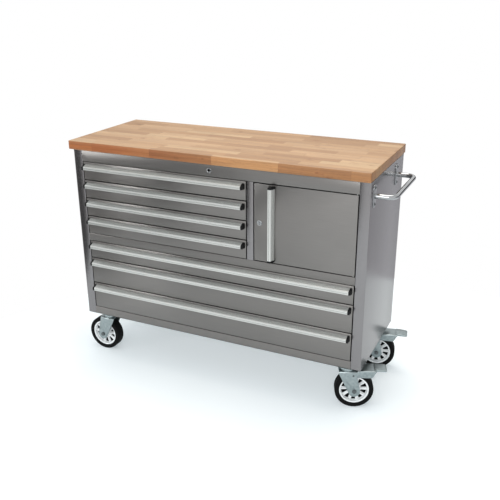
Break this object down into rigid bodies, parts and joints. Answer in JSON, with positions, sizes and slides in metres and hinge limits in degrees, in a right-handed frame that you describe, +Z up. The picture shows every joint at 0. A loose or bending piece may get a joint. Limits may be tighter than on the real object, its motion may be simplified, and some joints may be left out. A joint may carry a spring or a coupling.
{
  "type": "rolling workbench with drawers",
  "caption": "Rolling stainless-steel workbench: thick butcher-block top, banks of narrow and wide drawers with full-width pulls, a cupboard door, side push handle and swivel casters.",
  "frame": {"origin": "on the floor, under the middle of the box that holds the whole bench", "axes": "+X along the bench to the end with the push handle, -Y out of the drawer fronts, +Z up"},
  "size_m": [1.32, 0.4876, 0.934],
  "materials": {
    "oiled_butcher_block": "oiled, satin",
    "brushed_stainless_steel": "brushed along its length",
    "satin_aluminium": "satin anodised extrusion with black plastic end caps",
    "zinc_plated_steel": "bright zinc plate, slightly dull",
    "bright_zinc_fastener": "bright zinc plate",
    "polished_chrome": "polished",
    "black_rubber": "matt",
    "cast_wheel_alloy": "bright cast face"
  },
  "bodies": {
    "cabinet": {"worktop": "oiled_butcher_block", "left_side": "brushed_stainless_steel", "right_side": "brushed_stainless_steel", "back_panel": "brushed_stainless_steel", "base_pan": "brushed_stainless_steel", "top_rail": "brushed_stainless_steel", "middle_rail": "brushed_stainless_steel", "cupboard_floor": "brushed_stainless_steel", "centre_divider": "brushed_stainless_steel", "push_handle": "polished_chrome", "handle_flange_front": "polished_chrome", "handle_flange_rear": "polished_chrome", "top_lock_barrel": "polished_chrome", "hinge_pin_top": "zinc_plated_steel", "hinge_pin_bottom": "zinc_plated_steel", "small_rack_left": "zinc_plated_steel", "small_rack_right": "zinc_plated_steel", "wide_rack_left": "zinc_plated_steel", "wide_rack_right": "zinc_plated_steel", "caster_plate_front_left": "zinc_plated_steel", "caster_plate_front_right": "zinc_plated_steel", "caster_plate_back_left": "zinc_plated_steel", "caster_plate_back_right": "zinc_plated_steel"},
    "small_drawer_1": {"small_drawer_1": "brushed_stainless_steel", "small_pull_1": "satin_aluminium"},
    "small_drawer_2": {"small_drawer_2": "brushed_stainless_steel", "small_pull_2": "satin_aluminium"},
    "small_drawer_3": {"small_drawer_3": "brushed_stainless_steel", "small_pull_3": "satin_aluminium"},
    "small_drawer_4": {"small_drawer_4": "brushed_stainless_steel", "small_pull_4": "satin_aluminium"},
    "wide_drawer_1": {"wide_drawer_1": "brushed_stainless_steel", "wide_pull_1": "satin_aluminium"},
    "wide_drawer_2": {"wide_drawer_2": "brushed_stainless_steel", "wide_pull_2": "satin_aluminium"},
    "wide_drawer_3": {"wide_drawer_3": "brushed_stainless_steel", "wide_pull_3": "satin_aluminium"},
    "door": {"door_panel": "brushed_stainless_steel", "door_pull": "satin_aluminium", "door_lock_barrel": "polished_chrome"},
    "door_lock": {"door_lock_plug": "bright_zinc_fastener"},
    "top_lock": {"top_lock_plug": "bright_zinc_fastener"},
    "swivel_front_left": {"fork_front_left": "zinc_plated_steel", "axle_front_left": "bright_zinc_fastener"},
    "wheel_front_left": {"rim_front_left": "cast_wheel_alloy", "tyre_front_left": "black_rubber"},
    "swivel_front_right": {"fork_front_right": "zinc_plated_steel", "axle_front_right": "bright_zinc_fastener"},
    "wheel_front_right": {"rim_front_right": "cast_wheel_alloy", "tyre_front_right": "black_rubber"},
    "brake_pedal_front_right": {"brake_pedal_front_right": "zinc_plated_steel"},
    "swivel_back_left": {"fork_back_left": "zinc_plated_steel", "axle_back_left": "bright_zinc_fastener"},
    "wheel_back_left": {"rim_back_left": "cast_wheel_alloy", "tyre_back_left": "black_rubber"},
    "swivel_back_right": {"fork_back_right": "zinc_plated_steel", "axle_back_right": "bright_zinc_fastener"},
    "wheel_back_right": {"rim_back_right": "cast_wheel_alloy", "tyre_back_right": "black_rubber"},
    "brake_pedal_back_right": {"brake_pedal_back_right": "zinc_plated_steel"}
  },
  "joints": [
    {"name": "small_drawer_1_slide", "type": "slide", "parent": "cabinet", "child": "small_drawer_1", "axis": [0, -1, 0], "range_m": [0, 0.34]},
    {"name": "small_drawer_2_slide", "type": "slide", "parent": "cabinet", "child": "small_drawer_2", "axis": [0, -1, 0], "range_m": [0, 0.34]},
    {"name": "small_drawer_3_slide", "type": "slide", "parent": "cabinet", "child": "small_drawer_3", "axis": [0, -1, 0], "range_m": [0, 0.34]},
    {"name": "small_drawer_4_slide", "type": "slide", "parent": "cabinet", "child": "small_drawer_4", "axis": [0, -1, 0], "range_m": [0, 0.34]},
    {"name": "wide_drawer_1_slide", "type": "slide", "parent": "cabinet", "child": "wide_drawer_1", "axis": [0, -1, 0], "range_m": [0, 0.34]},
    {"name": "wide_drawer_2_slide", "type": "slide", "parent": "cabinet", "child": "wide_drawer_2", "axis": [0, -1, 0], "range_m": [0, 0.34]},
    {"name": "wide_drawer_3_slide", "type": "slide", "parent": "cabinet", "child": "wide_drawer_3", "axis": [0, -1, 0], "range_m": [0, 0.34]},
    {"name": "door_hinge", "type": "hinge", "parent": "cabinet", "child": "door", "pos_m": [0.53101, -0.21615, 0.7045], "axis": [0, 0, 1], "range_deg": [0, 105]},
    {"name": "door_lock_turn", "type": "hinge", "parent": "door", "child": "door_lock", "pos_m": [0.17701, -0.22215, 0.7045], "axis": [0, 1, 0], "range_deg": [0, 90]},
    {"name": "top_lock_turn", "type": "hinge", "parent": "cabinet", "child": "top_lock", "pos_m": [-0.02374, -0.22215, 0.877], "axis": [0, 1, 0], "range_deg": [0, 90]},
    {"name": "swivel_turn_front_left", "type": "hinge", "parent": "cabinet", "child": "swivel_front_left", "pos_m": [-0.55849, -0.16215, 0], "axis": [0, 0, 1], "continuous": true},
    {"name": "wheel_spin_front_left", "type": "hinge", "parent": "swivel_front_left", "child": "wheel_front_left", "pos_m": [-0.58649, -0.16215, 0.0735], "axis": [0, -1, 0], "continuous": true},
    {"name": "swivel_turn_front_right", "type": "hinge", "parent": "cabinet", "child": "swivel_front_right", "pos_m": [0.51101, -0.16215, 0], "axis": [0, 0, 1], "continuous": true},
    {"name": "wheel_spin_front_right", "type": "hinge", "parent": "swivel_front_right", "child": "wheel_front_right", "pos_m": [0.53697, -0.15166, 0.0735], "axis": [-0.3746, 0.9272, 0], "continuous": true},
    {"name": "brake_press_front_right", "type": "hinge", "parent": "swivel_front_right", "child": "brake_pedal_front_right", "pos_m": [0.53141, -0.15391, 0.141], "axis": [-0.3746, 0.9272, 0], "range_deg": [0, 10]},
    {"name": "swivel_turn_back_left", "type": "hinge", "parent": "cabinet", "child": "swivel_back_left", "pos_m": [-0.55849, 0.16485, 0], "axis": [0, 0, 1], "continuous": true},
    {"name": "wheel_spin_back_left", "type": "hinge", "parent": "swivel_back_left", "child": "wheel_back_left", "pos_m": [-0.58274, 0.17885, 0.0735], "axis": [-0.5, -0.866, 0], "continuous": true},
    {"name": "swivel_turn_back_right", "type": "hinge", "parent": "cabinet", "child": "swivel_back_right", "pos_m": [0.51101, 0.16485, 0], "axis": [0, 0, 1], "continuous": true},
    {"name": "wheel_spin_back_right", "type": "hinge", "parent": "swivel_back_right", "child": "wheel_back_right", "pos_m": [0.53839, 0.17067, 0.0735], "axis": [-0.2079, 0.9781, 0], "continuous": true},
    {"name": "brake_press_back_right", "type": "hinge", "parent": "swivel_back_right", "child": "brake_pedal_back_right", "pos_m": [0.53253, 0.16942, 0.141], "axis": [-0.2079, 0.9781, 0], "range_deg": [0, 10]}
  ]
}
